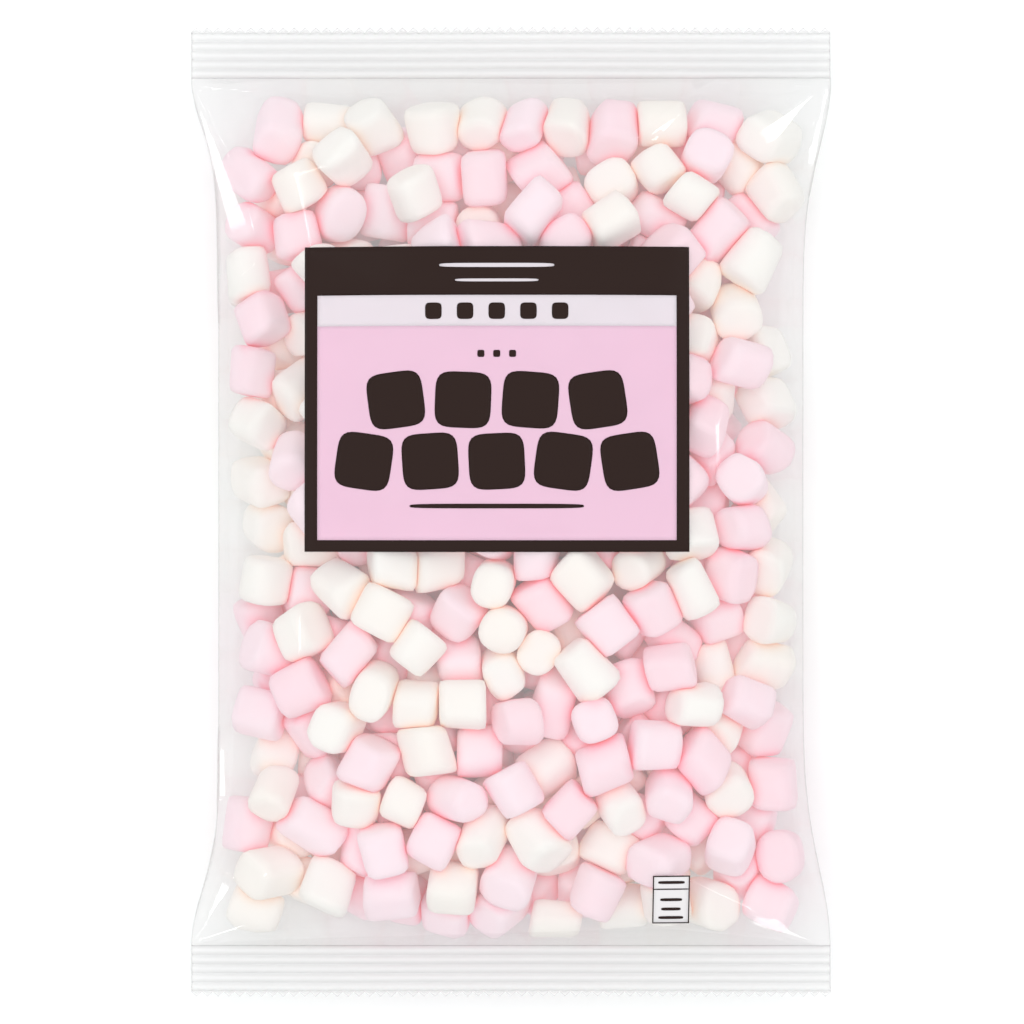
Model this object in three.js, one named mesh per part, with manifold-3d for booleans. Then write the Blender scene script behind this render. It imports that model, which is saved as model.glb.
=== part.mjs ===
// A sealed pillow bag full of mini marshmallows, lying on its back.
//
// Millimetres, +Z up. The origin is on the table under the middle of the bag, +Y runs
// towards the top seal, and the printed face looks up. The bag is one tube of clear film,
// crimped shut across both ends, so it is one solid here: a plump pillow that narrows where
// it is filled, with a flattened belly to rest on and a ribbed, saw-toothed seal at each end.

import * as THREE from 'three';
import { mergeVertices } from 'three/addons/utils/BufferGeometryUtils.js';
import Module from 'manifold-3d';

// ---- Driving dimensions ----

const BAG_LENGTH = 250; // over the tips of both rows of teeth
const TUBE_WIDTH = 165; // the film tube laid flat, which is the width of the seals
const BODY_WIDTH = 151; // the filled tube at the middle of the bag
const SEAL_DEPTH = 13; // from the inner edge of a seal to the tips of its teeth
const SEAL_HEIGHT = 16; // of the seals above the table

const CROWN = 23; // how far the printed face rises above the seals
const BELLY = 22; // how far the back would hang below them if the table did not flatten it
const BELLY_EASE = 2.5; // how softly the back turns from flat to round

const SEAL_THICKNESS = 0.8;
const RIBS = 5; // crimp ribs, which run across the bag between the pillow and the teeth
const RIB_HEIGHT = 0.4; // of a rib above and below the middle of the seal
const STEPS_PER_RIB = 6;
const TOOTH_PITCH = 2.8;
const TOOTH_DEPTH = 1.2;
const SEAL_OVERLAP = 0.6; // how far the pillow runs into each seal
const CUT_MARGIN = 1; // how far a cutting shape runs past what it cuts

// How far from a seal each corner takes to narrow from the seal to the body.
const NARROWING = {
  top: { left: 18, right: 25 },
  bottom: { left: 20, right: 28 },
};

// How square the pillow is across the bag and along it. The contents have slid
// towards the bottom seal, so that end is fuller than the top.
const SIDE_SQUARENESS = 2.3;
const TOP_SQUARENESS = 3.6;
const BOTTOM_SQUARENESS = 4.6;
const SIDE_EASE = 2;
const END_EASE = 1.9;

const LUMP_HEIGHT = 0.8; // where marshmallows push the film out
const LUMP_PITCH = 25;
const LUMP_SLANT = 0.5; // slope of the rows of lumps across the bag
const PUCKER_HEIGHT = 1.1; // where the film gathers into a seal
const PUCKER_PITCH = 15;
const PUCKER_REACH = 13;
const RELIEF_FROM = 0.5; // lumps and puckers have their full height where the bag is this full

const COLUMNS = 38; // grid across the bag
const ROWS = 52; // grid along it
const EDGE_CROWDING = 0.8; // how far the grid crowds towards the sides and ends, from 0 to 1

const FILM_COLOUR = 0xf6e9ec; // pink and white pieces seen through clear film

// ---- Worked out from them ----

const SEAL_EDGE_Y = BAG_LENGTH / 2 - SEAL_DEPTH;
const PILLOW_LENGTH = 2 * (SEAL_EDGE_Y + SEAL_OVERLAP);
const TEETH = Math.round(TUBE_WIDTH / TOOTH_PITCH);
const RIB_PITCH = (SEAL_DEPTH - TOOTH_DEPTH) / RIBS;

const wasm = await Module();
wasm.setup();

// ---- The pillow ----

// Half the width of the bag on one side, where y is along the bag.
function halfWidth(isRight, y) {
  const side = isRight ? 'right' : 'left';
  const topFlare = Math.exp(-(((SEAL_EDGE_Y - y) / NARROWING.top[side]) ** 2));
  const bottomFlare = Math.exp(-(((SEAL_EDGE_Y + y) / NARROWING.bottom[side]) ** 2));
  return (BODY_WIDTH + (TUBE_WIDTH - BODY_WIDTH) * (topFlare + bottomFlare)) / 2;
}

// 1 in the middle, falling to 0 at -1 and 1 along a rounded shoulder.
function shoulder(t, squareness, ease) {
  return Math.max(0, 1 - Math.abs(t) ** squareness) ** (1 / ease);
}

// How full the bag is, from 0 at its edge to 1, where across and along run from -1 to 1.
function fullness(across, along) {
  const squareness = along > 0 ? TOP_SQUARENESS : BOTTOM_SQUARENESS;
  return shoulder(across, SIDE_SQUARENESS, SIDE_EASE) * shoulder(along, squareness, END_EASE);
}

// Soft lumps where the contents press on the film, as two crossed waves.
function lumps(x, y) {
  const turn = (2 * Math.PI) / LUMP_PITCH;
  const acrossWave = Math.sin(turn * (x + LUMP_SLANT * y));
  const alongWave = Math.sin(turn * (y - LUMP_SLANT * x));
  return LUMP_HEIGHT * acrossWave * alongWave;
}

// Pleats that run into the nearer seal and die away over the shoulder of the bag.
function puckers(x, y) {
  const distance = SEAL_EDGE_Y - Math.abs(y);
  const fade = Math.exp(-distance / PUCKER_REACH);
  const fan = 1 + distance / TUBE_WIDTH;
  return PUCKER_HEIGHT * fade * Math.cos((2 * Math.PI * x * fan) / PUCKER_PITCH);
}

// Presses everything below the table up to it, with an eased edge.
function settle(z) {
  if (z >= BELLY_EASE) return z;
  if (z <= -BELLY_EASE) return 0;
  return (z + BELLY_EASE) ** 2 / (4 * BELLY_EASE);
}

// Spreads evenly spaced grid lines, from -1 to 1, so that they crowd towards both ends.
function crowd(t) {
  return EDGE_CROWDING * Math.sin((t * Math.PI) / 2) + (1 - EDGE_CROWDING) * t;
}

function pillow() {
  const geometry = new THREE.BoxGeometry(2, 2, 2, COLUMNS, ROWS, 1);
  const corners = geometry.attributes.position;
  for (let i = 0; i < corners.count; i += 1) {
    const across = crowd(corners.getX(i));
    const along = crowd(corners.getY(i));
    const isFront = corners.getZ(i) > 0;
    const y = (along * PILLOW_LENGTH) / 2;
    const x = across * halfWidth(across > 0, y);
    const full = fullness(across, along);
    const relief = (lumps(x, y) + puckers(x, y)) * Math.min(1, full / RELIEF_FROM);
    const front = SEAL_HEIGHT + SEAL_THICKNESS / 2 + CROWN * full + relief;
    const back = settle(SEAL_HEIGHT - SEAL_THICKNESS / 2 - BELLY * full - relief);
    corners.setXYZ(i, x, y, isFront ? front : back);
  }
  return geometry;
}

// ---- The crimped seals ----

// The plan of the top seal: straight sides and inner edge, teeth along the outer edge.
function sealPlan() {
  const plan = new THREE.Shape();
  const pitch = TUBE_WIDTH / TEETH;
  plan.moveTo(-TUBE_WIDTH / 2, SEAL_EDGE_Y);
  plan.lineTo(TUBE_WIDTH / 2, SEAL_EDGE_Y);
  for (let tooth = 0; tooth < TEETH; tooth += 1) {
    const x = TUBE_WIDTH / 2 - tooth * pitch;
    plan.lineTo(x, BAG_LENGTH / 2);
    plan.lineTo(x - pitch / 2, BAG_LENGTH / 2 - TOOTH_DEPTH);
  }
  plan.lineTo(-TUBE_WIDTH / 2, BAG_LENGTH / 2);
  return plan;
}

// The section of the top seal along the bag: a wave of constant thickness,
// which ends in a flat strip for the teeth.
function ribSection() {
  const wave = (i) => {
    const distance = (i * RIB_PITCH) / STEPS_PER_RIB;
    const height = RIB_HEIGHT * Math.sin((2 * Math.PI * i) / STEPS_PER_RIB);
    return new THREE.Vector2(SEAL_EDGE_Y + distance, SEAL_HEIGHT + height);
  };
  const middle = Array.from({ length: RIBS * STEPS_PER_RIB + 1 }, (_, i) => wave(i));
  middle.push(new THREE.Vector2(BAG_LENGTH / 2 + CUT_MARGIN, SEAL_HEIGHT));
  const lift = new THREE.Vector2(0, SEAL_THICKNESS / 2);
  const over = middle.map((point) => point.clone().add(lift));
  const under = middle.map((point) => point.clone().sub(lift));
  return new THREE.Shape([...over, ...under.reverse()]);
}

function sealBlank() {
  return new THREE.ExtrudeGeometry(sealPlan(), {
    depth: 2 * SEAL_HEIGHT,
    bevelEnabled: false,
  });
}

function sealRibs() {
  const geometry = new THREE.ExtrudeGeometry(ribSection(), {
    depth: TUBE_WIDTH + 2 * CUT_MARGIN,
    bevelEnabled: false,
  });
  // The section is drawn as (y, z) and pushed along x.
  const turn = new THREE.Matrix4().makeBasis(
    new THREE.Vector3(0, 1, 0),
    new THREE.Vector3(0, 0, 1),
    new THREE.Vector3(1, 0, 0),
  );
  geometry.applyMatrix4(turn);
  geometry.translate(-TUBE_WIDTH / 2 - CUT_MARGIN, 0, 0);
  return geometry;
}

// ---- Joining ----

const SAME_POINT = 1e-4;

function toSolid(geometry) {
  geometry.deleteAttribute('normal');
  geometry.deleteAttribute('uv');
  const merged = mergeVertices(geometry, SAME_POINT);
  return new wasm.Manifold(new wasm.Mesh({
    numProp: 3,
    vertProperties: new Float32Array(merged.attributes.position.array),
    triVerts: new Uint32Array(merged.index.array),
  }));
}

function toGeometry(solid) {
  const mesh = solid.getMesh();
  const geometry = new THREE.BufferGeometry();
  geometry.setAttribute('position', new THREE.BufferAttribute(mesh.vertProperties, 3));
  geometry.setIndex(new THREE.BufferAttribute(mesh.triVerts, 1));
  geometry.computeVertexNormals();
  return geometry;
}

const topSeal = toSolid(sealBlank()).intersect(toSolid(sealRibs()));
const bottomSeal = topSeal.rotate([0, 0, 180]);
const wholeBag = toSolid(pillow()).add(topSeal).add(bottomSeal);

const film = new THREE.MeshStandardMaterial({ color: FILM_COLOUR, roughness: 0.25, metalness: 0 });
const bag = new THREE.Mesh(toGeometry(wholeBag), film);
bag.name = 'bag';

const model = new THREE.Group();
model.add(bag);

export default model;
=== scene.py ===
# A clear sealed bag of mini pink and white marshmallows, lying on its back on a pale table.
#
# Metres, +Z up. The origin is on the table under the middle of the bag, +Y runs towards its
# top seal, and its printed face looks up.

import math

import bmesh
import bpy
import numpy as np
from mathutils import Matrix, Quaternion, Vector
from mathutils.bvhtree import BVHTree


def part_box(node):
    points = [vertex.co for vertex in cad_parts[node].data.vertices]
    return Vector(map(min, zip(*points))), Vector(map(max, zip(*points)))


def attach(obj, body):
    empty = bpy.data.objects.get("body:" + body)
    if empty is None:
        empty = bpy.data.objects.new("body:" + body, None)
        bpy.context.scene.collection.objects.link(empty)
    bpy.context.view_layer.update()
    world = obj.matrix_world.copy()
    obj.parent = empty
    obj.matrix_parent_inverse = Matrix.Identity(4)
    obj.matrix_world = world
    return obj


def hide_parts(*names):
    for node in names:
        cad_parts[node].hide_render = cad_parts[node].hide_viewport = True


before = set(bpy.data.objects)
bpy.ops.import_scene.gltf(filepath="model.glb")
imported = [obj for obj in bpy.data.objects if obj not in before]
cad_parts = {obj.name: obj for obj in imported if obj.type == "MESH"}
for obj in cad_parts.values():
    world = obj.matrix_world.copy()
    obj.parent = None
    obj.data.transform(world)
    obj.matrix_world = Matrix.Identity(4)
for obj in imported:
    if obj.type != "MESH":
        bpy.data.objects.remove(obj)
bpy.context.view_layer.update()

# ---- The film tube, and the form it takes when it is full ----
#
# The bag is one tube of clear film, cut to length and crimped shut across both ends. Full,
# it is a pillow: narrower than the flat tube, crowned in front and flattened on its back.
# The marshmallows settle inside this form, and the film is then pulled tight over them.

MM = 0.001
bag_low, bag_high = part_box("bag")
BAG_LENGTH = bag_high.y - bag_low.y
TUBE_WIDTH = bag_high.x - bag_low.x
BODY_WIDTH = 151 * MM
SEAL_DEPTH = 13 * MM
SEAL_HEIGHT = 16 * MM
SEAL_EDGE = BAG_LENGTH / 2 - SEAL_DEPTH
CROWN = 23 * MM
BELLY = 22 * MM
BELLY_EASE = 2.5 * MM

# How far from a seal its left and right edges take to narrow to the body.
NARROWING_TOP = (18 * MM, 25 * MM)
NARROWING_BOTTOM = (20 * MM, 28 * MM)

# How square the pillow is across the bag and along it. What fills it has slid towards the
# bottom seal, so that end is fuller.
SIDE_SQUARENESS = 2.6
TOP_SQUARENESS = 4.2
BOTTOM_SQUARENESS = 5
SIDE_EASE = 2
END_EASE = 1.9

# How far grid lines crowd towards the sides and ends of the bag, from 0 to 1.
CROWDING = 0.6


def half_width(is_right, y):
    """Half the width of the filled bag on one side, at y along it."""
    top = np.where(is_right, NARROWING_TOP[1], NARROWING_TOP[0])
    bottom = np.where(is_right, NARROWING_BOTTOM[1], NARROWING_BOTTOM[0])
    flare = np.exp(-(((SEAL_EDGE - y) / top) ** 2)) + np.exp(-(((SEAL_EDGE + y) / bottom) ** 2))
    return (BODY_WIDTH + (TUBE_WIDTH - BODY_WIDTH) * flare) / 2


def shoulder(t, squareness, ease):
    """1 in the middle, falling to 0 at -1 and 1 along a rounded shoulder."""
    return np.maximum(0, 1 - np.abs(t) ** squareness) ** (1 / ease)


def front_and_back(across, along):
    """The heights of the two faces of the full bag. across and along run from -1 to 1."""
    squareness = np.where(along > 0, TOP_SQUARENESS, BOTTOM_SQUARENESS)
    full = shoulder(across, SIDE_SQUARENESS, SIDE_EASE) * shoulder(along, squareness, END_EASE)
    hanging = SEAL_HEIGHT - BELLY * full
    eased = (hanging + BELLY_EASE) ** 2 / (4 * BELLY_EASE)
    resting = np.where(hanging > BELLY_EASE, hanging, np.where(hanging < -BELLY_EASE, 0, eased))
    return SEAL_HEIGHT + CROWN * full, resting


def crowd(count):
    """Grid lines from -1 to 1, which crowd a little towards both ends."""
    even = np.linspace(-1, 1, count + 1)
    return CROWDING * np.sin(even * math.pi / 2) + (1 - CROWDING) * even


def bag_grid(columns, rows):
    """Plan places of a grid over the bag, as (rows, columns) arrays of x, y, across and along."""
    across, along = np.meshgrid(crowd(columns), crowd(rows))
    y = along * SEAL_EDGE
    return across * half_width(across > 0, y), y, across, along


# ---- The marshmallows ----
#
# Short lengths of an extruded rope of foam, cut by a knife while soft and tumbled in
# starch. Each is a stubby cylinder with soft edges, no two alike: a little oval, leaning
# from the cut, fatter at one end, and flattened where it once lay against others.

PIECES = 440
ACROSS = 11.3 * MM
LENGTH = 11.9 * MM

# How far a size strays from 1 as a rule, and its least and most.
ACROSS_VARIES = (0.05, 0.86, 1.13)
LENGTH_VARIES = (0.09, 0.8, 1.22)
OVAL_VARIES = 0.06
LEAN_VARIES = 0.1
TAPER_VARIES = 0.05

# From round to square across, and from soft to sharp at the cut edges.
SECTION = (2.1, 3.6)
EDGE_SHARPNESS = (6, 12)
FLATS = (2, 5)
FLAT_DEPTH = (0.02, 0.13)
FLAT_EDGE = 0.2 * MM
REACH_CELLS = 6
rng = np.random.default_rng(11)


def varied(usual, least, most):
    """A random factor near 1."""
    return np.clip(rng.normal(1, usual), least, most)


def grid_faces(rows, columns):
    """Quads of a grid of rows by columns points, whose faces look up when x and y grow."""
    first = (np.arange(rows - 1)[:, None] * columns + np.arange(columns - 1)[None]).ravel()
    return np.stack([first, first + 1, first + columns + 1, first + columns], axis=1)


def ball_grid(cells):
    """Directions and quads of a cube blown up to a ball."""
    even = np.tan(np.linspace(-1, 1, cells + 1) * math.pi / 4)
    a, b = np.meshgrid(even, even)
    flat = np.ones_like(a)
    sides = [(a, b, flat), (b, a, -flat), (flat, a, b), (-flat, b, a), (b, flat, a), (a, -flat, b)]
    points = np.concatenate([np.stack(s, axis=-1).reshape(-1, 3) for s in sides])
    quads = [grid_faces(cells + 1, cells + 1) + side * (cells + 1) ** 2 for side in range(6)]
    _, first, again = np.unique(points.round(6), axis=0, return_index=True, return_inverse=True)
    points = points[first]
    directions = points / np.linalg.norm(points, axis=1, keepdims=True)
    return directions, again.reshape(-1)[np.concatenate(quads)]


def over(depth, ease):
    """Depth where it is positive, 0 where it is not, with an eased turn between."""
    return ease * np.logaddexp(0, depth / ease)


class Marshmallow:
    """One piece: its own proportions, and where it lies."""

    def __init__(self):
        self.across = ACROSS * varied(*ACROSS_VARIES)
        self.length = LENGTH * varied(*LENGTH_VARIES)
        self.section = rng.uniform(*SECTION)
        self.sharpness = rng.uniform(*EDGE_SHARPNESS)
        self.oval = rng.normal(1, OVAL_VARIES)
        self.lean = rng.normal(0, LEAN_VARIES, 2)
        self.taper = rng.normal(0, TAPER_VARIES)
        self.place = np.zeros(3)
        self.turn = np.eye(3)
        self.flats = rng.normal(size=(rng.integers(*FLATS), 3))
        self.flats /= np.linalg.norm(self.flats, axis=1, keepdims=True)
        reach = (self.round_surface(ball_grid(REACH_CELLS)[0]) @ self.flats.T).max(axis=0)
        self.flat_at = reach * (1 - rng.uniform(*FLAT_DEPTH, len(reach)))

    def level(self, points):
        """1 on its skin and less inside, before it is leant, tapered or flattened."""
        side = np.abs(points[:, :2]) / (self.across / 2)
        radial = (side**self.section).sum(axis=1) ** (1 / self.section)
        axial = np.abs(points[:, 2]) / (self.length / 2)
        return (radial**self.sharpness + axial**self.sharpness) ** (1 / self.sharpness)

    def round_surface(self, directions):
        """Its skin along these directions from its middle, before it is flattened."""
        points = directions / self.level(directions)[:, None]
        fatter = 1 + self.taper * points[:, 2] / (self.length / 2)
        points[:, 0] *= fatter * self.oval
        points[:, 1] *= fatter / self.oval
        points[:, :2] += points[:, 2:] * self.lean
        return points

    def surface(self, directions, size=1.0):
        """Its skin along these directions, in its own axes."""
        points = self.round_surface(directions)
        for flat, at in zip(self.flats, self.flat_at):
            points -= over(points @ flat - at, FLAT_EDGE)[:, None] * flat
        return points * size

    def depth(self, points, size=1.0):
        """How far points given in its own axes lie inside its skin, roughly."""
        upright = points / size
        upright[:, :2] -= upright[:, 2:] * self.lean
        fatter = 1 + self.taper * upright[:, 2] / (self.length / 2)
        upright[:, 0] /= fatter * self.oval
        upright[:, 1] /= fatter / self.oval
        level = self.level(upright) + 1e-9
        depth = (1 - level) / level * np.linalg.norm(upright, axis=1)
        return np.minimum(depth, (self.flat_at - points / size @ self.flats.T).min(axis=1)) * size


# ---- Settling them in the bag ----
#
# They are dropped into the back of the bag, and its front is closed on them. They keep
# clear of the seals and of the creased sides, where the film lies double.

# The solver is steadier with large things, so it works at this many times their size.
SCALE = 100
TRAY_COLUMNS = 36
TRAY_ROWS = 52
SIDE_ROOM = 1.4 * MM
TOP_ROOM = 4.5 * MM
BOTTOM_ROOM = 1.5 * MM
FILM_ROOM = 0.5 * MM
DROP_SPACING = 17 * MM
DROP_COLUMNS = 8
DROP_ROWS = 12
DROP_CELLS = 3
DROP_JITTER = 1 * MM
LOWEST_LAYER = 0.6
LID_LIFT = 80 * MM
WALL_OVER_LID = 10 * MM
LID_STARTS = 15
LID_CLOSED = 85
SETTLED = 100
GRAVITY = -60


def new_piece(name, points, faces, smooth=True):
    """A mesh object at the origin."""
    mesh = bpy.data.meshes.new(name)
    mesh.from_pydata(np.asarray(points, float).tolist(), [], [list(map(int, f)) for f in faces])
    mesh.validate()
    mesh.polygons.foreach_set("use_smooth", [smooth] * len(mesh.polygons))
    mesh.update()
    piece = bpy.data.objects.new(name, mesh)
    bpy.context.scene.collection.objects.link(piece)
    return piece


def back_and_lid():
    """The bag's back as a tray with a high wall round it, and its front as a lid."""
    x, y, across, along = bag_grid(TRAY_COLUMNS, TRAY_ROWS)
    front, back = front_and_back(across, along)
    x = x * (1 - SIDE_ROOM / half_width(across > 0, y))
    y = np.where(y > 0, y * (1 - TOP_ROOM / SEAL_EDGE), y * (1 - BOTTOM_ROOM / SEAL_EDGE))
    faces = grid_faces(*x.shape)
    lid_points = np.stack([x, y, front - FILM_ROOM], axis=-1).reshape(-1, 3)
    tray_points = np.stack([x, y, back + FILM_ROOM], axis=-1).reshape(-1, 3)
    index = np.arange(x.size).reshape(x.shape)
    rim = np.concatenate([index[0, :-1], index[:-1, -1], index[-1, :0:-1], index[:0:-1, 0]])
    wall = tray_points[rim] + [0, 0, LID_LIFT + WALL_OVER_LID]
    top = len(tray_points) + np.arange(len(rim))
    wall_faces = np.stack([rim, top, np.roll(top, -1), np.roll(rim, -1)], axis=1)
    lid = new_piece("lid", lid_points * SCALE, faces[:, ::-1])
    tray_points = np.concatenate([tray_points, wall])
    tray = new_piece("tray", tray_points * SCALE, np.concatenate([faces, wall_faces]))
    return tray, lid


def hung_over(pieces):
    """Coarse bodies for the pieces, in layers over the bag's back and turned at random."""
    directions, quads = ball_grid(DROP_CELLS)
    bodies = []
    for number, piece in enumerate(pieces):
        layer, cell = divmod(number, DROP_COLUMNS * DROP_ROWS)
        row, column = divmod(cell, DROP_COLUMNS)
        spot = (column - (DROP_COLUMNS - 1) / 2, row - (DROP_ROWS - 1) / 2, layer + LOWEST_LAYER)
        body = new_piece(f"dropped_{number:03d}", piece.surface(directions) * SCALE, quads)
        body.rotation_mode = "QUATERNION"
        body.rotation_quaternion = Quaternion(rng.normal(size=4)).normalized()
        jitter = rng.uniform(-1, 1, 3) * DROP_JITTER
        body.location = (np.array(spot) * DROP_SPACING + jitter) * SCALE
        bodies.append(body)
    return bodies


def settle(pieces):
    """Drops the pieces into the bag's back, closes its front on them, and notes where they lie."""
    tray, lid = back_and_lid()
    bodies = hung_over(pieces)
    scene = bpy.context.scene
    scene.gravity = (0, 0, GRAVITY)
    bpy.ops.rigidbody.world_add()
    world = scene.rigidbody_world
    world.collection = bpy.data.collections.new("settling")
    world.substeps_per_frame = 6
    world.solver_iterations = 20
    world.point_cache.frame_end = SETTLED
    scene.frame_end = SETTLED
    bpy.ops.object.select_all(action="DESELECT")
    for body in [tray, lid, *bodies]:
        body.select_set(True)
    bpy.context.view_layer.objects.active = bodies[0]
    bpy.ops.rigidbody.objects_add(type="ACTIVE")
    for body in [tray, lid, *bodies]:
        rigid = body.rigid_body
        rigid.collision_shape = "CONVEX_HULL"
        rigid.friction = 0.5
        rigid.restitution = 0
        rigid.use_margin = True
        rigid.collision_margin = 0.02
        rigid.linear_damping = 0.2
        rigid.angular_damping = 0.3
    for shell in (tray, lid):
        shell.rigid_body.type = "PASSIVE"
        shell.rigid_body.collision_shape = "MESH"
        shell.rigid_body.mesh_source = "BASE"
        shell.rigid_body.friction = 0.1
    lid.rigid_body.kinematic = True
    for at, lift in ((1, LID_LIFT), (LID_STARTS, LID_LIFT), (LID_CLOSED, 0)):
        lid.location.z = lift * SCALE
        lid.keyframe_insert("location", frame=at)
    for at in range(1, SETTLED + 1):
        scene.frame_set(at)
    for piece, body in zip(pieces, bodies):
        piece.place = np.array(body.matrix_world.translation) / SCALE
        piece.turn = np.array(body.matrix_world.to_3x3())
    bpy.ops.rigidbody.world_remove()
    for body in [tray, lid, *bodies]:
        mesh = body.data
        bpy.data.objects.remove(body)
        bpy.data.meshes.remove(mesh)
    for action in list(bpy.data.actions):
        bpy.data.actions.remove(action)
    scene.frame_set(1)


marshmallows = [Marshmallow() for _ in range(PIECES)]
settle(marshmallows)

# ---- Pressing them together ----
#
# Each is swollen a little, and where it then reaches into a neighbour, both give way by
# half, so they meet in flat dents. Where it reaches the film, the film presses it back.

SWELLING = 1.03
SOFTNESS = 0.18 * MM
GIVES_WITHIN = 4 * SOFTNESS
NEAR = 20 * MM
NOOK_REACH = 3.5 * MM
SLOPE_STEP = 0.05 * MM
FILM_STEP = 0.2 * MM
RIM = 0.9999
CELLS = 8


def press(points, neighbour):
    """Moves points of one piece out of a neighbour, by half of how deep they lie in it.

    Returns how close each lies to the neighbour, from 0 to 1 where they touch.
    """
    own = (points - neighbour.place) @ neighbour.turn
    depth = neighbour.depth(own, SWELLING)
    closeness = np.clip(1 + depth / NOOK_REACH, 0, 1)
    near = depth > -GIVES_WITHIN
    if not near.any():
        return closeness
    own = own[near]
    depth = depth[near]
    slope = [neighbour.depth(own + SLOPE_STEP * axis, SWELLING) - depth for axis in np.eye(3)]
    outward = -np.stack(slope, axis=1)
    outward /= np.linalg.norm(outward, axis=1, keepdims=True) + 1e-12
    points[near] += (outward * (over(depth, SOFTNESS) / 2)[:, None]) @ neighbour.turn.T
    return closeness


def keep_in_film(points):
    """Presses points that would reach through the film back inside it."""
    y = np.clip(points[:, 1], -SEAL_EDGE, SEAL_EDGE)

    def faces_at(x, y):
        across = np.clip(x / half_width(x > 0, y), -RIM, RIM)
        return front_and_back(across, y / SEAL_EDGE)

    here = faces_at(points[:, 0], y)
    right = faces_at(points[:, 0] + FILM_STEP, y)
    up = faces_at(points[:, 0], y + FILM_STEP)
    for face, sign in ((0, 1), (1, -1)):
        slopes = [(here[face] - right[face]) / FILM_STEP, (here[face] - up[face]) / FILM_STEP]
        normal = np.stack([*slopes, np.ones_like(y)])
        normal /= np.linalg.norm(normal, axis=0)
        out = sign * (points[:, 2] - here[face]) * normal[2] + FILM_ROOM / 2
        points -= sign * (normal * np.maximum(out, 0)).T


directions, ball_quads = ball_grid(CELLS)
skins = [m.surface(directions, SWELLING) @ m.turn.T + m.place for m in marshmallows]
places = np.array([piece.place for piece in marshmallows])
# How close each point comes to a neighbour: it sets the painted shade in the nooks.
nooks = np.zeros((PIECES, len(directions)))
apart = np.linalg.norm(places[:, None] - places[None], axis=2)
for number, skin in enumerate(skins):
    for other in np.flatnonzero((apart[number] < NEAR) & (apart[number] > 0)):
        nooks[number] = np.maximum(nooks[number], press(skin, marshmallows[other]))
    keep_in_film(skin)

# ---- Their two colours ----
#
# They are poured from two trays, so like colours lie in small clusters, with a bit over
# half of them pink. The foam is matt. A dusting of starch pales it. In the nooks where two
# pieces meet, the colour is painted deeper and warmer, as painted shade for the light that
# bounces between them.

PINK_SHARE = 0.56
CLUSTER = 15 * MM
CLUSTER_WAVES = 6
STRAYS = 1.6
PIECE_TONE = (-0.1, 0.15)
# Painted shade: how far the colour deepens where a piece touches another.
PAINTED_NOOK_SHADE = 0.8
CLOUD_TONE = 0.15

waves = rng.normal(size=(CLUSTER_WAVES, 3)) * math.pi / CLUSTER
phases = rng.uniform(0, 2 * math.pi, CLUSTER_WAVES)
clustering = np.sin(places @ waves.T + phases).sum(axis=1) + rng.normal(0, STRAYS, PIECES)
is_pink = clustering > np.quantile(clustering, 1 - PINK_SHARE)


def marshmallow_material(name, dusted, deep_and_nook_shade):
    """Matt dusted foam, deeper at random and, as painted shade, in the nooks."""
    material = bpy.data.materials.new(name)
    material.use_nodes = True
    tree = material.node_tree
    shader = tree.nodes["Principled BSDF"]
    shader.inputs["Roughness"].default_value = 0.85
    shader.inputs["Specular IOR Level"].default_value = 0.15
    place = tree.nodes.new("ShaderNodeTexCoord")
    cloud = tree.nodes.new("ShaderNodeTexNoise")
    cloud.inputs["Scale"].default_value = 260
    cloud.inputs["Detail"].default_value = 3
    # The tone attribute holds each piece's random tone and the painted shade in its nooks.
    tone = tree.nodes.new("ShaderNodeAttribute")
    tone.attribute_name = "tone"
    blend = tree.nodes.new("ShaderNodeMix")
    blend.data_type = "RGBA"
    blend.inputs["A"].default_value = (*dusted, 1)
    blend.inputs["B"].default_value = (*deep_and_nook_shade, 1)
    amount = tree.nodes.new("ShaderNodeMath")
    amount.operation = "MULTIPLY_ADD"
    amount.inputs[1].default_value = CLOUD_TONE
    link = tree.links.new
    link(place.outputs["Object"], cloud.inputs["Vector"])
    link(cloud.outputs["Fac"], amount.inputs[0])
    link(tone.outputs["Fac"], amount.inputs[2])
    link(amount.outputs["Value"], blend.inputs["Factor"])
    link(blend.outputs["Result"], shader.inputs["Base Color"])
    return material


def pour(name, chosen, material):
    """Joins the chosen pieces into one mesh."""
    points = np.concatenate([skins[k] for k in chosen])
    per_piece = len(directions)
    faces = np.concatenate([ball_quads + n * per_piece for n in range(len(chosen))])
    heap = new_piece(name, points, faces)
    whole = np.repeat(rng.uniform(*PIECE_TONE, len(chosen)), per_piece)
    tone = heap.data.attributes.new("tone", "FLOAT", "POINT")
    # Each piece's random tone, plus painted shade where it touches a neighbour.
    tone.data.foreach_set("value", whole + PAINTED_NOOK_SHADE * nooks[chosen].ravel() ** 2)
    heap.data.materials.append(material)
    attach(heap, "root")
    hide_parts("bag")


pink_foam = marshmallow_material(
    "pink marshmallow foam", dusted=(0.975, 0.805, 0.87), deep_and_nook_shade=(1.0, 0.42, 0.52)
)
white_foam = marshmallow_material(
    "white marshmallow foam", dusted=(0.94, 0.925, 0.885), deep_and_nook_shade=(1.0, 0.83, 0.72)
)
pour("pink_marshmallows", np.flatnonzero(is_pink), pink_foam)
pour("white_marshmallows", np.flatnonzero(~is_pink), white_foam)

# ---- The clear film ----
#
# Thin clear polypropylene, pulled tight. It runs straight from one piece it touches to the
# next, and out to the seals and the creased sides, so it lies in flat facets with soft
# ridges between them.

FILM_COLUMNS = 160
FILM_ROWS = 240
FILM_CLEARANCE = 0.12 * MM
FILM_STRETCH = 1.02
HULL_FROM = 2 * MM
RIDGE_SOFTENING = 2
SIGHT = 0.1
TABLE_GAP = 0.35 * MM

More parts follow.
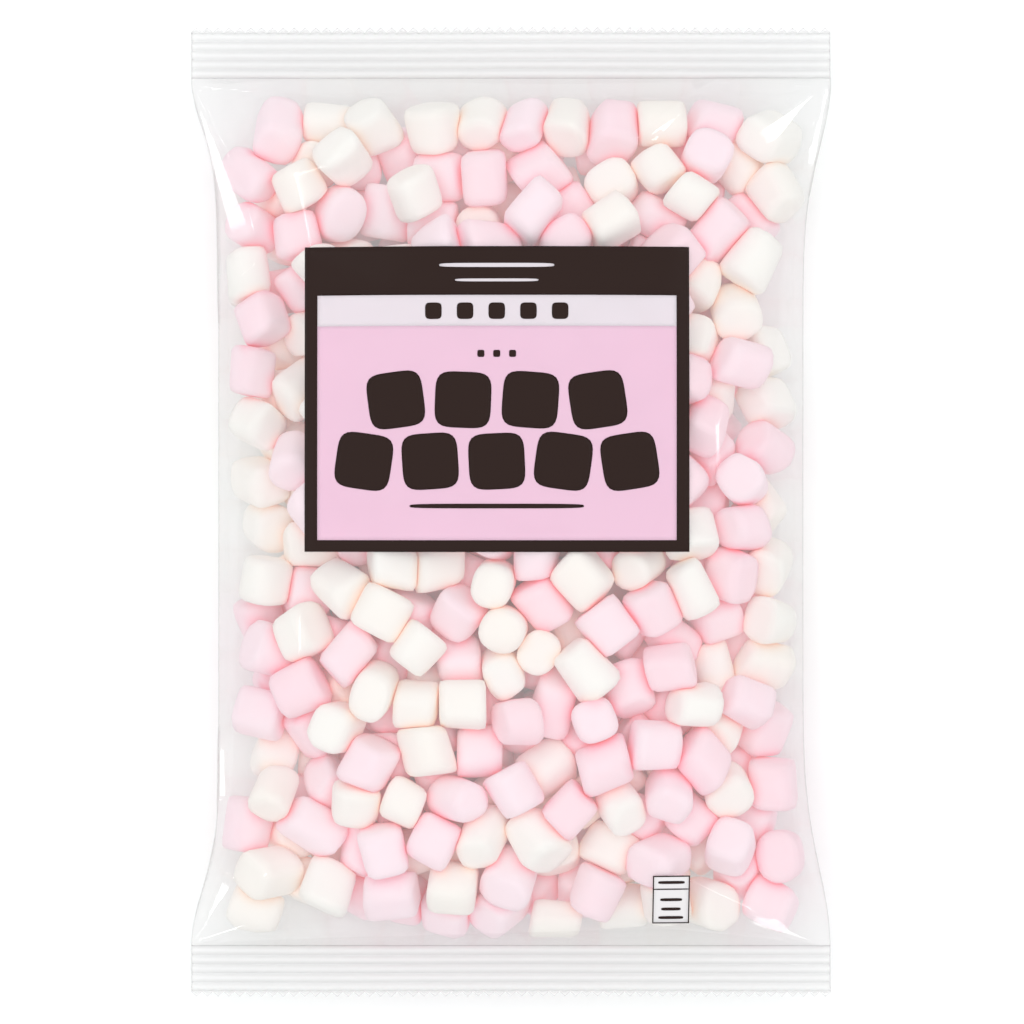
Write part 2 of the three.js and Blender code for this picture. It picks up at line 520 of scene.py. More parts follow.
# It looks a little milky where nothing presses on it from behind, and where its two layers
# lie close together, in the corners and along the ends and sides.
MILK_SPREAD = 60
MILKY_FROM = 2 * MM
MILKY_AT = 12 * MM
DOUBLE_UNDER = 7 * MM
SINGLE_OVER = 14 * MM
DOUBLE_MILK = 0.9
GLOSS_ROUGHNESS = 0.08
MIRRORS_FACING = 0.07
MIRRORS_AT_A_GLANCE = 0.9
GLANCE_POWER = 5

# Straight folds that run out of the corners and down the sides. In millimetres, where each
# starts and ends, and its width there. Then how steeply its broad flank falls, and the side
# of it that the flank is on.
FOLDS = (
    ((81.1, 110.5), (59.6, 95.6), (0.4, 6.2), 0.05, 1),
    ((80.4, 109.0), (74.7, 84.3), (1.8, 2.6), 0.3, 1),
    ((53.9, 110.5), (35.4, 93.6), (0.8, 3.0), 0.0, -1),
    ((80.6, 110.3), (59.0, 109.5), (1.2, 1.2), 0.65, 1),
    ((-79.3, 103.9), (-62.8, 65.3), (1.4, 8.0), 0.1, -1),
    ((-80.8, 110.3), (-61.3, 108.2), (1.2, 1.2), -0.1, -1),
    ((-80.3, -108.5), (-73.6, -92.3), (0.4, 4.0), -0.2, -1),
    ((-80.8, -111.1), (-64.9, -105.9), (1.0, 1.6), -0.07, 1),
    ((80.6, -111.3), (60.6, -101.5), (0.6, 4.6), 0.3, 1),
    ((-73.1, -74.5), (-73.1, -58.1), (2.2, 2.2), 0.3, 1),
)
FOLD_EDGE = 1.0
FOLD_SAMPLES = (25, 7)
FOLD_SAGS_FROM = 0.7
FOLD_SAG = 0.12

foam = BVHTree.FromPolygons(
    np.concatenate(skins).tolist(),
    np.concatenate([ball_quads + n * len(directions) for n in range(PIECES)]).tolist(),
)


def over_the_foam(x, y, side):
    """The height of the pieces at each place, seen from above (side 1) or below (side -1)."""
    height = np.full(x.shape, -side * 1.0)  # far off where there is no piece
    for place in np.ndindex(x.shape):
        start = (x[place], y[place], side * SIGHT + SEAL_HEIGHT)
        hit = foam.ray_cast(start, (0, 0, -side), 2 * SIGHT)[0]
        if hit is not None:
            height[place] = hit.z
    return height


def soften(field, passes):
    """Evens out a field on the grid, but for its rim."""
    for _ in range(passes):
        inner = field[1:-1, 1:-1]
        around = field[:-2, 1:-1] + field[2:, 1:-1] + field[1:-1, :-2] + field[1:-1, 2:]
        field[1:-1, 1:-1] = (inner + around / 4) / 2


def pulled_tight(across, along, side):
    """Heights of film stretched over the pieces, measured away from the seals."""
    points = np.concatenate(skins)
    y = np.clip(points[:, 1], -SEAL_EDGE, SEAL_EDGE)
    flat_x = points[:, 0] / half_width(points[:, 0] > 0, y)
    rise = (points[:, 2] - SEAL_HEIGHT) * side
    outer = rise > HULL_FROM
    tops = np.stack([flat_x[outer] * BODY_WIDTH / 2, y[outer], rise[outer]], axis=1)
    ball = bmesh.new()
    for x_end in (-BODY_WIDTH / 2, BODY_WIDTH / 2):
        for y_end in (-SEAL_EDGE, SEAL_EDGE):
            ball.verts.new((x_end, y_end, 0))
    for top in tops:
        ball.verts.new(top)
    hull = bmesh.ops.convex_hull(ball, input=ball.verts)
    loose = [e for e in hull["geom_interior"] if isinstance(e, bmesh.types.BMVert)]
    bmesh.ops.delete(ball, geom=loose, context="VERTS")
    taut = BVHTree.FromBMesh(ball)
    height = np.zeros(across.shape)
    for place in np.ndindex(across.shape):
        start = (across[place] * BODY_WIDTH / 2, along[place] * SEAL_EDGE, SIGHT)
        hit = taut.ray_cast(start, (0, 0, -1))[0]
        if hit is not None:
            height[place] = hit.z
    ball.free()
    for edge in (np.s_[0, :], np.s_[-1, :], np.s_[:, 0], np.s_[:, -1]):
        height[edge] = 0
    soften(height, RIDGE_SOFTENING)
    return height


def height_at(heights, x, y):
    """The height of the film at places in plan, read off its grid."""
    column = np.interp(x / half_width(x > 0, y), crowd(FILM_COLUMNS), np.arange(FILM_COLUMNS + 1))
    row = np.interp(y / SEAL_EDGE, crowd(FILM_ROWS), np.arange(FILM_ROWS + 1))
    left = np.minimum(column.astype(int), FILM_COLUMNS - 1)
    low = np.minimum(row.astype(int), FILM_ROWS - 1)
    u, v = column - left, row - low
    near = (1 - u) * heights[low, left] + u * heights[low, left + 1]
    far = (1 - u) * heights[low + 1, left] + u * heights[low + 1, left + 1]
    return (1 - v) * near + v * far


def folded(heights, start, end, widths, fall, side):
    """Raises the film into a fold: a flat flank that sags at its end, and steep edges."""
    start, end, widths = np.array(start) * MM, np.array(end) * MM, np.array(widths) * MM
    length = np.linalg.norm(end - start)
    along = (end - start) / length
    across = np.array([-along[1], along[0]]) * side
    widening = (widths[1] - widths[0]) / length

    # The foot of the flank follows the film, as nearly as a straight line can.
    run, part = np.meshgrid(
        np.linspace(0, length, FOLD_SAMPLES[0]), np.linspace(0, 1, FOLD_SAMPLES[1])
    )
    out = part * (widths[0] + widening * run)
    under = height_at(
        heights,
        start[0] + run * along[0] + out * across[0],
        start[1] + run * along[1] + out * across[1],
    )
    slope, level = np.polyfit(run[-1], under[-1], 1)
    level += np.max(under - (level + slope * run + fall * (out[-1] - out)))

    run = (film_x - start[0]) * along[0] + (film_y - start[1]) * along[1]
    out = (film_x - start[0]) * across[0] + (film_y - start[1]) * across[1]
    width = widths[0] + widening * run
    sag = FOLD_SAG * length * np.maximum(run / length - FOLD_SAGS_FROM, 0) ** 2
    flank = level + slope * run + fall * (width - out) - sag
    past = np.maximum.reduce([-(1 + fall / FOLD_EDGE) * out, out - width, run - length, -run])
    return np.maximum(heights, flank - FOLD_EDGE * np.maximum(past, 0))


film_x, film_y, film_across, film_along = bag_grid(FILM_COLUMNS, FILM_ROWS)
pieces_front = over_the_foam(film_x, film_y, 1)
pieces_back = over_the_foam(film_x, film_y, -1)
film_front = SEAL_HEIGHT + pulled_tight(film_across, film_along, 1) * FILM_STRETCH
film_back = SEAL_HEIGHT - pulled_tight(film_across, film_along, -1)
inside = np.s_[1:-1, 1:-1]
film_front[inside] = np.maximum(film_front[inside], pieces_front[inside] + FILM_CLEARANCE)
film_back[inside] = np.minimum(film_back[inside], pieces_back[inside]) - FILM_CLEARANCE
film_front = np.maximum.reduce([film_front] + [folded(film_front, *fold) for fold in FOLDS])
film_back = np.maximum(film_back, TABLE_GAP)
behind_front = np.minimum(film_front - pieces_front, film_front - film_back)
behind_back = np.minimum(pieces_back - film_back, film_front - film_back)
soften(behind_front, MILK_SPREAD)
soften(behind_back, MILK_SPREAD)


def film_material(name, tint, white, haze, milk, edge, edge_power):
    """Clear film: lets nearly all light through, and less of it where it is seen at a glance."""
    material = bpy.data.materials.new(name)
    material.use_nodes = True
    tree = material.node_tree
    tree.nodes.remove(tree.nodes["Principled BSDF"])
    output = tree.nodes["Material Output"]
    through = tree.nodes.new("ShaderNodeBsdfTransparent")
    thicker = tree.nodes.new("ShaderNodeMath")
    thicker.operation = "POWER"
    thicker.inputs[1].default_value = edge_power
    clearness = tree.nodes.new("ShaderNodeMapRange")
    clearness.inputs["To Min"].default_value = tint
    clearness.inputs["To Max"].default_value = edge
    milky = tree.nodes.new("ShaderNodeBsdfDiffuse")
    milky.inputs["Color"].default_value = (white, white, white, 1)
    body = tree.nodes.new("ShaderNodeMixShader")
    gap = tree.nodes.new("ShaderNodeAttribute")
    gap.attribute_name = "slack"
    amount = tree.nodes.new("ShaderNodeMapRange")
    amount.inputs["To Min"].default_value = haze
    amount.inputs["To Max"].default_value = milk
    shine = tree.nodes.new("ShaderNodeBsdfGlossy")
    shine.inputs["Roughness"].default_value = GLOSS_ROUGHNESS
    shine.inputs["Color"].default_value = (1, 1, 1, 1)
    facing = tree.nodes.new("ShaderNodeLayerWeight")
    facing.inputs["Blend"].default_value = 0.5
    glance = tree.nodes.new("ShaderNodeMath")
    glance.operation = "POWER"
    glance.inputs[1].default_value = GLANCE_POWER
    mirror = tree.nodes.new("ShaderNodeMapRange")
    mirror.inputs["To Min"].default_value = MIRRORS_FACING
    mirror.inputs["To Max"].default_value = MIRRORS_AT_A_GLANCE
    surface = tree.nodes.new("ShaderNodeMixShader")
    link = tree.links.new
    link(gap.outputs["Fac"], amount.inputs["Value"])
    link(amount.outputs["Result"], body.inputs["Fac"])
    link(through.outputs["BSDF"], body.inputs[1])
    link(milky.outputs["BSDF"], body.inputs[2])
    link(facing.outputs["Facing"], thicker.inputs[0])
    link(thicker.outputs["Value"], clearness.inputs["Value"])
    link(clearness.outputs["Result"], through.inputs["Color"])
    link(facing.outputs["Facing"], glance.inputs[0])
    link(glance.outputs["Value"], mirror.inputs["Value"])
    link(mirror.outputs["Result"], surface.inputs["Fac"])
    link(body.outputs["Shader"], surface.inputs[1])
    link(shine.outputs["BSDF"], surface.inputs[2])
    link(surface.outputs["Shader"], output.inputs["Surface"])
    return material


clear_film = film_material(
    "clear film", tint=0.962, white=0.95, haze=0.055, milk=0.2, edge=0.6, edge_power=3.5
)
rows, columns = film_x.shape
back_index = np.arange(rows * columns).reshape(rows, columns)
back_index[inside] = rows * columns + np.arange((rows - 2) * (columns - 2)).reshape(
    rows - 2, columns - 2
)
order = grid_faces(rows, columns)
front_points = np.stack([film_x, film_y, film_front], axis=-1)
back_points = np.stack([film_x, film_y, film_back], axis=-1)[inside]
film_points = np.concatenate([front_points.reshape(-1, 3), back_points.reshape(-1, 3)])
film_faces = np.concatenate([order, back_index.ravel()[order][:, ::-1]])
film = new_piece("film", film_points, film_faces)
slack = np.concatenate([behind_front.ravel(), behind_back[inside].ravel()])
slack = np.clip((slack - MILKY_FROM) / (MILKY_AT - MILKY_FROM), 0, 1)
double = 1 - (film_front - film_back - DOUBLE_UNDER) / (SINGLE_OVER - DOUBLE_UNDER)
double = np.clip(np.concatenate([double.ravel(), double[inside].ravel()]), 0, 1)
slack = np.maximum(slack, DOUBLE_MILK * double)
film.data.attributes.new("slack", "FLOAT", "POINT").data.foreach_set("value", slack)
film.data.materials.append(clear_film)
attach(film, "root")
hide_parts("bag")

# ---- The crimped seals ----
#
# Hot ribbed jaws weld the two layers across each end, and a zigzag knife cuts between one
# bag and the next, which leaves a row of small teeth.

RIBS = 5
RIB_HEIGHT = 0.4 * MM
TOOTH_PITCH = 2.8 * MM
TOOTH_DEPTH = 1.2 * MM
TOOTH_STRIP = 1.6 * MM
TEETH = round(TUBE_WIDTH / TOOTH_PITCH)
WELD_THICKNESS = 0.15 * MM
RIB_ROUNDNESS = 0.8
RIBS_FADE = 0.6
WAVE_HEIGHT = 0.5 * MM
WAVE_LENGTH = 19 * MM
WAVE_REACH = 4 * MM
POINTS_PER_RIB = 10
POINTS_PAST_RIBS = 6
POINTS_PER_TOOTH = 5
SEAL_ROWS = RIBS * POINTS_PER_RIB + POINTS_PAST_RIBS
SAME_POINT = 0.01 * MM


def tree_input(tree, name, kind, value):
    """Adds a named input to a node tree, and gives its identifier."""
    socket = tree.interface.new_socket(name, in_out="INPUT", socket_type=kind)
    socket.default_value = value
    return socket.identifier


def crimped_seal_tree(material):
    """One tooth's width of ribbed film, repeated along the seal."""
    tree = bpy.data.node_groups.new("crimped seal", "GeometryNodeTree")
    tree.is_modifier = True
    sockets = {
        "Tooth Pitch": tree_input(tree, "Tooth Pitch", "NodeSocketFloat", TOOTH_PITCH),
        "Tooth Depth": tree_input(tree, "Tooth Depth", "NodeSocketFloat", TOOTH_DEPTH),
        "Tooth Strip": tree_input(tree, "Tooth Strip", "NodeSocketFloat", TOOTH_STRIP),
        "Teeth": tree_input(tree, "Teeth", "NodeSocketInt", TEETH),
        "Seal Depth": tree_input(tree, "Seal Depth", "NodeSocketFloat", SEAL_DEPTH),
        "Ribs": tree_input(tree, "Ribs", "NodeSocketInt", RIBS),
        "Rib Height": tree_input(tree, "Rib Height", "NodeSocketFloat", RIB_HEIGHT),
        "Rows": tree_input(tree, "Rows", "NodeSocketInt", SEAL_ROWS),
    }
    tree.interface.new_socket("Geometry", in_out="OUTPUT", socket_type="NodeSocketGeometry")
    nodes, link = tree.nodes, tree.links.new
    given = nodes.new("NodeGroupInput")
    result = nodes.new("NodeGroupOutput")

    def math_node(operation, *values, clamp=False):
        node = nodes.new("ShaderNodeMath")
        node.operation = operation
        node.use_clamp = clamp
        for socket, value in zip(node.inputs, values):
            if isinstance(value, (int, float)):
                socket.default_value = value
            else:
                link(value, socket)
        return node.outputs[0]

    strip = nodes.new("GeometryNodeMeshGrid")
    strip.inputs["Vertices X"].default_value = POINTS_PER_TOOTH
    link(given.outputs["Tooth Pitch"], strip.inputs["Size X"])
    link(given.outputs["Seal Depth"], strip.inputs["Size Y"])
    link(given.outputs["Rows"], strip.inputs["Vertices Y"])
    where = nodes.new("GeometryNodeInputPosition")
    split = nodes.new("ShaderNodeSeparateXYZ")
    link(where.outputs[0], split.inputs[0])
    x, y = split.outputs["X"], split.outputs["Y"]

    # 0 at the inner edge of the toothed strip and 1 at the cut.
    from_cut = math_node("SUBTRACT", math_node("MULTIPLY", given.outputs["Seal Depth"], 0.5), y)
    toothed = math_node(
        "SUBTRACT", 1, math_node("DIVIDE", from_cut, given.outputs["Tooth Strip"]), clamp=True
    )
    notch = math_node("DIVIDE", math_node("ABSOLUTE", x), given.outputs["Tooth Pitch"])
    notch = math_node("MULTIPLY", math_node("MULTIPLY", notch, 2), given.outputs["Tooth Depth"])
    cut = math_node("MULTIPLY", notch, toothed)

    # Rounded ribs with narrow grooves between them, which are lower in the teeth.
    depth = math_node("ADD", y, math_node("MULTIPLY", given.outputs["Seal Depth"], 0.5))
    ribbed = math_node("SUBTRACT", given.outputs["Seal Depth"], given.outputs["Tooth Depth"])
    turns = math_node("MULTIPLY", math_node("DIVIDE", depth, ribbed), given.outputs["Ribs"])
    arch = math_node("ABSOLUTE", math_node("SINE", math_node("MULTIPLY", turns, math.pi)))
    arch = math_node("MULTIPLY", math_node("POWER", arch, RIB_ROUNDNESS), 2)
    arch = math_node("SUBTRACT", arch, 1)
    fade = math_node("SUBTRACT", 1, math_node("MULTIPLY", toothed, RIBS_FADE))
    height = math_node("MULTIPLY", math_node("MULTIPLY", arch, given.outputs["Rib Height"]), fade)

    shift = nodes.new("ShaderNodeCombineXYZ")
    link(math_node("MULTIPLY", cut, -1), shift.inputs["Y"])
    link(height, shift.inputs["Z"])
    shaped = nodes.new("GeometryNodeSetPosition")
    link(strip.outputs["Mesh"], shaped.inputs["Geometry"])
    link(shift.outputs[0], shaped.inputs["Offset"])

    line = nodes.new("GeometryNodeMeshLine")
    link(given.outputs["Teeth"], line.inputs["Count"])
    step = nodes.new("ShaderNodeCombineXYZ")
    link(given.outputs["Tooth Pitch"], step.inputs["X"])
    link(step.outputs[0], line.inputs["Offset"])
    start = nodes.new("ShaderNodeCombineXYZ")
    span = math_node("SUBTRACT", given.outputs["Teeth"], 1)
    span = math_node("MULTIPLY", math_node("MULTIPLY", span, given.outputs["Tooth Pitch"]), -0.5)
    link(span, start.inputs["X"])
    link(start.outputs[0], line.inputs["Start Location"])

    repeat = nodes.new("GeometryNodeInstanceOnPoints")
    link(line.outputs["Mesh"], repeat.inputs["Points"])
    link(shaped.outputs["Geometry"], repeat.inputs["Instance"])
    real = nodes.new("GeometryNodeRealizeInstances")
    link(repeat.outputs["Instances"], real.inputs["Geometry"])
    joined = nodes.new("GeometryNodeMergeByDistance")
    joined.inputs["Distance"].default_value = SAME_POINT
    link(real.outputs["Geometry"], joined.inputs["Geometry"])
    finish = nodes.new("GeometryNodeSetMaterial")
    finish.inputs["Material"].default_value = material
    link(joined.outputs["Geometry"], finish.inputs["Geometry"])
    link(finish.outputs["Geometry"], result.inputs["Geometry"])
    return tree, sockets


def baked(name, piece):
    """The piece with its modifiers worked into a plain mesh."""
    bpy.context.view_layer.update()
    evaluated = piece.evaluated_get(bpy.context.evaluated_depsgraph_get())
    mesh = bpy.data.meshes.new_from_object(evaluated)
    mesh.name = name
    bpy.data.objects.remove(piece)
    plain = bpy.data.objects.new(name, mesh)
    bpy.context.scene.collection.objects.link(plain)
    mesh.polygons.foreach_set("use_smooth", [True] * len(mesh.polygons))
    return plain


weld = film_material(
    "welded film", tint=0.97, white=0.95, haze=0.36, milk=0.36, edge=0.63, edge_power=1
)
seal_tree, seal_sockets = crimped_seal_tree(weld)


def crimped_seal(name, end):
    """The seal at one end of the bag: end is 1 at the top and -1 at the bottom."""
    seal = new_piece(name, [], [])
    ribs = seal.modifiers.new("ribs", "NODES")
    ribs.node_group = seal_tree
    ribs[seal_sockets["Teeth"]] = TEETH
    ribs[seal_sockets["Tooth Pitch"]] = TUBE_WIDTH / TEETH
    layers = seal.modifiers.new("layers", "SOLIDIFY")
    layers.thickness = WELD_THICKNESS
    layers.offset = 0
    seal = baked(name, seal)
    points = np.empty(len(seal.data.vertices) * 3)
    seal.data.vertices.foreach_get("co", points)
    points = points.reshape(-1, 3)
    points[:, 1] += SEAL_EDGE + SEAL_DEPTH / 2
    wave = WAVE_HEIGHT * np.sin(points[:, 0] / WAVE_LENGTH + end)
    points[:, 2] += SEAL_HEIGHT + wave * (1 - np.exp(-(points[:, 1] - SEAL_EDGE) / WAVE_REACH))
    if end < 0:
        points[:, :2] *= -1
    seal.data.vertices.foreach_set("co", points.ravel())
    seal.data.update()
    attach(seal, "root")
    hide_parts("bag")


crimped_seal("top_seal", 1)
crimped_seal("bottom_seal", -1)

# ---- The printed panel ----
#
# Ink on the outside of the film: a dark frame, a pale band, and a pink field with a plain
# picture of marshmallows. Behind the pale and pink inks, the pieces show through a little.

PANEL = (-52.3 * MM, 45.2 * MM, -10.1 * MM, 67.2 * MM)
OPENING = (-49.0 * MM, 41.9 * MM, -7.1 * MM, 54.8 * MM)
BAND_BOTTOM = 47.0 * MM
PANEL_MIDDLE = (PANEL[0] + PANEL[1]) / 2
PRINT_THICKNESS = 0.04 * MM
PRINT_LIFT = 0.12 * MM
SECOND_LIFT = 0.2 * MM
PRINT_CELL = 1.2 * MM
OVER_FILM = 60 * MM

# Rows of big blocks: how far up each row is, how many it holds and how far apart they are.
# Each block leans its own way, by up to BLOCK_TILT degrees.
BLOCK_ROWS = ((28.3 * MM, 4, 17 * MM), (12.8 * MM, 5, 16.8 * MM))
BLOCK_HALF = (7.1 * MM, 7.1 * MM)
BLOCK_TILT = 9
TILT_TURNS = 2.4
BLOCK_SIDES = 48
BLOCK_RINGS = 6
BLOCK_CORNER = 4.5

# Rows of small marks, in millimetres: how far up each row is, how many marks stand on each
# side of its middle one, how far apart they are, and half their size.
MARK_ROWS = ((50.8, 2, 8, 2.1), (40, 1, 4, 0.9))

# Lines of ink, as blocks without a tilt: the middle and half the size of each.
UNDERLINE = ((PANEL_MIDDLE, 1.5 * MM), (22 * MM, 0.6 * MM), 0)
HEAD_LINES = (
    ((PANEL_MIDDLE, 62.4 * MM), (14.5 * MM, 0.5 * MM), 0),
    ((PANEL_MIDDLE, 58.6 * MM), (10.5 * MM, 0.35 * MM), 0),
)

bpy.context.view_layer.update()
film_tree = BVHTree.FromObject(film, bpy.context.evaluated_depsgraph_get())


def on_film(x, y, lift):
    """A point this far above the front of the film."""
    hit = film_tree.ray_cast((x, y, OVER_FILM), (0, 0, -1))[0]
    return (x, y, hit.z + lift)


def print_material(name, colour, clear):
    """Printing ink under a thin gloss coat. clear lets some of what is behind show."""
    material = bpy.data.materials.new(name)
    material.use_nodes = True
    shader = material.node_tree.nodes["Principled BSDF"]
    shader.inputs["Base Color"].default_value = (*colour, 1)
    shader.inputs["Roughness"].default_value = 0.35
    shader.inputs["Specular IOR Level"].default_value = 0.15
    shader.inputs["Alpha"].default_value = 1 - clear
    return material


def lines(start, end):
    """Even grid lines from start to end."""
    count = max(1, round((end - start) / PRINT_CELL))
    return np.linspace(start, end, count + 1)


def inked(name, material, points, faces):
    """A patch of ink with a thickness, as a piece of the bag."""
    patch = new_piece(name, points, faces)
    patch.data.materials.append(material)
    ink = patch.modifiers.new("ink", "SOLIDIFY")
    ink.thickness = PRINT_THICKNESS
    ink.offset = 1
    patch = baked(name, patch)
    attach(patch, "root")
    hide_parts("bag")


def printed(name, material, outer, inner=None, lift=PRINT_LIFT):
    """A rectangle of ink on the film, with a rectangular opening if inner is given."""
    left, right, low, high = outer
    xs, ys = lines(left, right), lines(low, high)
    if inner:
        xs = [lines(left, inner[0])[:-1], lines(inner[0], inner[1]), lines(inner[1], right)[1:]]
        ys = [lines(low, inner[2])[:-1], lines(inner[2], inner[3]), lines(inner[3], high)[1:]]
        xs, ys = np.concatenate(xs), np.concatenate(ys)
    points = np.array([on_film(x, y, lift) for y in ys for x in xs])
    faces = grid_faces(len(ys), len(xs))
    if inner:
        middle = points[faces].mean(axis=1)
        in_x = (middle[:, 0] > inner[0]) & (middle[:, 0] < inner[1])
        in_y = (middle[:, 1] > inner[2]) & (middle[:, 1] < inner[3])
        faces = faces[~(in_x & in_y)]
        used = np.unique(faces)
        points = points[used]
        faces = np.searchsorted(used, faces)
    inked(name, material, points, faces)


def printed_blocks(name, material, blocks, lift):
    """Round-cornered patches of ink. Each block is its middle, its half size and its tilt."""
    angle = np.linspace(0, 2 * math.pi, BLOCK_SIDES, endpoint=False)
    ring = np.stack([np.cos(angle), np.sin(angle)])
    ring /= (np.abs(ring) ** BLOCK_CORNER).sum(axis=0) ** (1 / BLOCK_CORNER)
    points, faces = [], []
    for (x, y), half, tilt in blocks:
        first = len(points)
        points.append(on_film(x, y, lift))
        cos, sin = math.cos(math.radians(tilt)), math.sin(math.radians(tilt))
        for size in np.linspace(0, 1, BLOCK_RINGS + 1)[1:]:
            u, v = ring * np.array([half]).T * size
            plan = zip(x + u * cos - v * sin, y + u * sin + v * cos)
            points += [on_film(*at, lift) for at in plan]
        inner = first + 1 + np.arange(BLOCK_SIDES)
        faces += [(first, a, b) for a, b in zip(inner, np.roll(inner, -1))]
        for _ in range(BLOCK_RINGS - 1):
            outer = inner + BLOCK_SIDES
            faces += zip(inner, outer, np.roll(outer, -1), np.roll(inner, -1))
            inner = outer
    inked(name, material, points, faces)


dark_ink = print_material("dark ink", (0.011, 0.003, 0.0015), 0)
pale_ink = print_material("pale ink", (0.84, 0.78, 0.835), 0.33)
pink_ink = print_material("pink ink", (0.88, 0.58, 0.745), 0.3)
printed("panel_frame", dark_ink, PANEL, OPENING)
printed("panel_band", pale_ink, (OPENING[0], OPENING[1], BAND_BOTTOM, OPENING[3]))
printed("panel_field", pink_ink, (OPENING[0], OPENING[1], OPENING[2], BAND_BOTTOM))

big_blocks = []
for row_y, count, pitch in BLOCK_ROWS:
    for k in range(count):
        middle = (PANEL_MIDDLE + (k - (count - 1) / 2) * pitch, row_y)
        tilt = BLOCK_TILT * math.sin(TILT_TURNS * len(big_blocks) + 1)
        big_blocks.append((middle, BLOCK_HALF, tilt))
printed_blocks("panel_blocks", dark_ink, big_blocks, SECOND_LIFT)

# A row of squares in the pale band, a row of dots below it, and a line under the blocks.
small_marks = []
for row_y, reach, pitch, half in MARK_ROWS:
    for k in range(-reach, reach + 1):
        middle = (PANEL_MIDDLE + k * pitch * MM, row_y * MM)
        small_marks.append((middle, (half * MM, half * MM), 0))
small_marks.append(UNDERLINE)
printed_blocks("panel_marks", dark_ink, small_marks, SECOND_LIFT)
printed_blocks("head_lines", pale_ink, HEAD_LINES, SECOND_LIFT)

# ---- The small box ----
#
# A box of white ink low on the right, printed on the film like the panel. It has a thin
# dark outline, a divider near its top, and plain dark lines above and below that.

BOX = (36.1 * MM, 45.6 * MM, -105.2 * MM, -92.4 * MM)
BOX_LINE = 0.35 * MM
BOX_DIVIDER = -96.0 * MM
BOX_ROW_HALF = 0.4 * MM

# The lines in it, in millimetres: how far up each is, and half its length.
BOX_ROWS = ((-94.2, 3.4), (-98.8, 2.8), (-101.3, 2.5), (-103.6, 3.2))

white_ink = print_material("white ink", (0.80, 0.78, 0.79), 0.05)
box_inside = (BOX[0] + BOX_LINE, BOX[1] - BOX_LINE, BOX[2] + BOX_LINE, BOX[3] - BOX_LINE)
printed("box_paper", white_ink, box_inside)
printed("box_outline", dark_ink, BOX, box_inside)
box_middle = (BOX[0] + BOX[1]) / 2
box_half = (BOX[1] - BOX[0]) / 2
box_lines = [((box_middle, BOX_DIVIDER), (box_half - BOX_LINE / 2, BOX_LINE / 2), 0)]
for row_y, half in BOX_ROWS:
    box_lines.append(((box_middle, row_y * MM), (half * MM, BOX_ROW_HALF), 0))
printed_blocks("box_lines", dark_ink, box_lines, SECOND_LIFT)

# ---- The table, the light and the camera ----
#
# A pale table in a soft bright room, under a wide soft light. Seven small lamps round it
# are what the folds of the film mirror. The camera looks straight down on the bag.

FRAME_SIDE = 264.3 * MM
LENS = 135
SENSOR = 36
CAMERA_SHIFT = 0.3 * MM
TABLE_HALF = 3
LAMP_AWAY = 1.2
LAMP_SIDES = (0.1, 0.1)

# The small lamps: bearing from +X, angle from straight up, and brightness.
LAMPS = {
    "right lamp": (5, 39, 6),
    "top right lamp": (33, 48.5, 7),
    "top lamp": (51, 54, 6),
    "top left lamp": (136, 35, 4.5),
    "left lamp": (187, 40.5, 6),
    "bottom left lamp": (219, 48, 6),
    "bottom right lamp": (295, 58, 4),
}

table_plan = np.array([(-1, -1, 0), (1, -1, 0), (1, 1, 0), (-1, 1, 0)]) * TABLE_HALF
table = new_piece("table", table_plan, [(0, 1, 2, 3)], smooth=False)
pale = bpy.data.materials.new("pale table")
pale.use_nodes = True
matt = pale.node_tree.nodes["Principled BSDF"]
matt.inputs["Base Color"].default_value = (0.945, 0.97, 0.97, 1)
matt.inputs["Roughness"].default_value = 0.9
table.data.materials.append(pale)

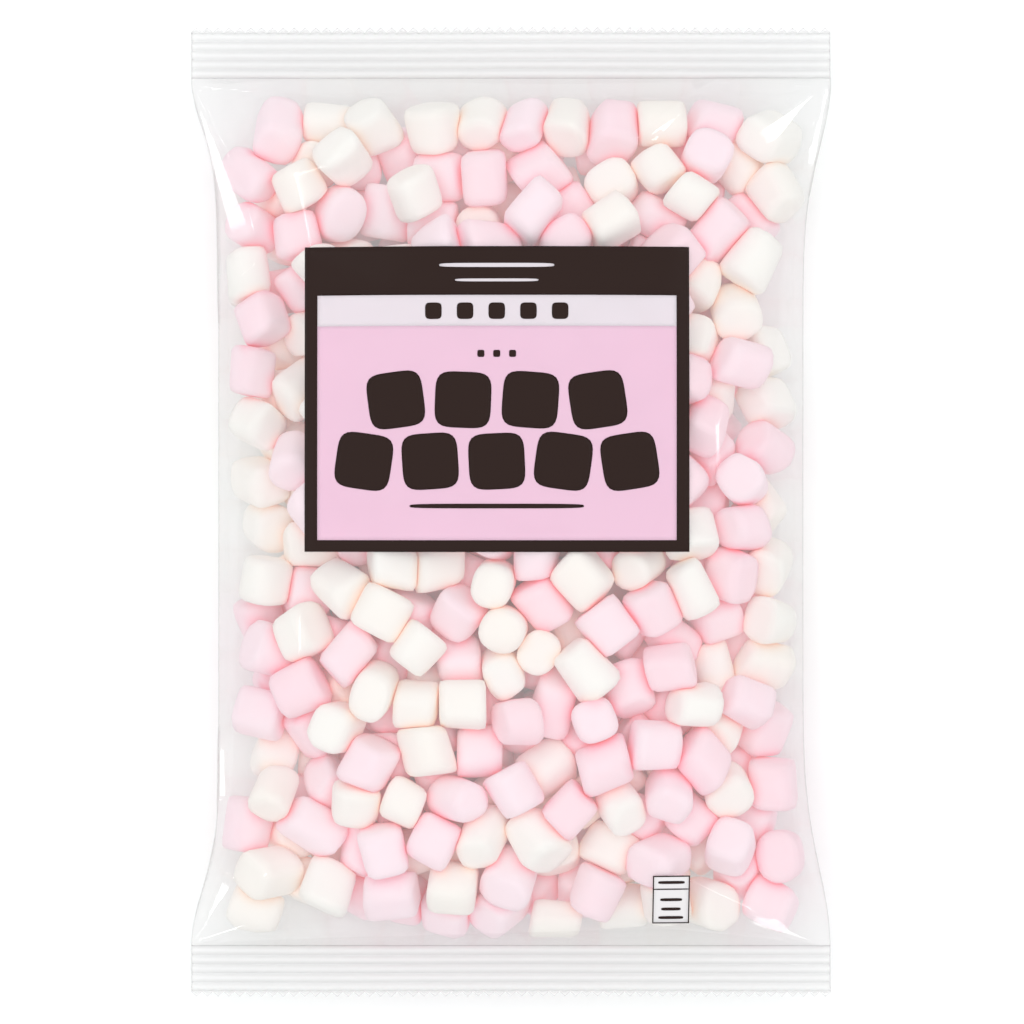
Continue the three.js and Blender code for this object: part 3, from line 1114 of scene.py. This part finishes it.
scene = bpy.context.scene
scene.view_settings.view_transform = "Standard"
scene.view_settings.look = "None"
scene.view_settings.gamma = 1.15
scene.cycles.diffuse_bounces = 32
scene.cycles.max_bounces = 44
scene.cycles.transparent_max_bounces = 24

world = bpy.data.worlds.new("soft room")
scene.world = world
world.use_nodes = True
room = world.node_tree
sky = room.nodes.new("ShaderNodeTexCoord")
split = room.nodes.new("ShaderNodeSeparateXYZ")
glow = room.nodes.new("ShaderNodeMapRange")
glow.inputs["To Min"].default_value = 0.79
glow.inputs["To Max"].default_value = 0.905
room.links.new(sky.outputs["Generated"], split.inputs[0])
room.links.new(split.outputs["Z"], glow.inputs["Value"])
room.links.new(glow.outputs["Result"], room.nodes["Background"].inputs["Strength"])
room.nodes["Background"].inputs["Color"].default_value = (1, 1, 1, 1)


def softbox(name, turn, tilt, away, size, brightness, mirrored=True):
    """A lamp that faces the bag. turn is its bearing from +X, tilt its angle from straight up."""
    light = bpy.data.lights.new(name, "AREA")
    light.shape = "RECTANGLE"
    light.size, light.size_y = size
    light.energy = brightness * math.pi * size[0] * size[1]
    lamp = bpy.data.objects.new(name, light)
    scene.collection.objects.link(lamp)
    turn, tilt = math.radians(turn), math.radians(tilt)
    flat = math.sin(tilt)
    lamp.location = Vector((flat * math.cos(turn), flat * math.sin(turn), math.cos(tilt))) * away
    lamp.rotation_euler = (-lamp.location).to_track_quat("-Z", "Y").to_euler()
    lamp.visible_glossy = mirrored


softbox(
    "overhead", turn=125, tilt=7, away=1.5, size=(1.4, 1.4), brightness=1.25, mirrored=False
)
for name, (turn, tilt, brightness) in LAMPS.items():
    softbox(name, turn, tilt, LAMP_AWAY, LAMP_SIDES, brightness)

camera_data = bpy.data.cameras.new("camera")
camera_data.lens = LENS
camera_data.sensor_width = SENSOR
camera_data.sensor_fit = "HORIZONTAL"
camera_data.clip_end = 20
camera = bpy.data.objects.new("camera", camera_data)
scene.collection.objects.link(camera)
camera.location = (CAMERA_SHIFT, 0, SEAL_HEIGHT + FRAME_SIDE * LENS / SENSOR)
scene.camera = camera
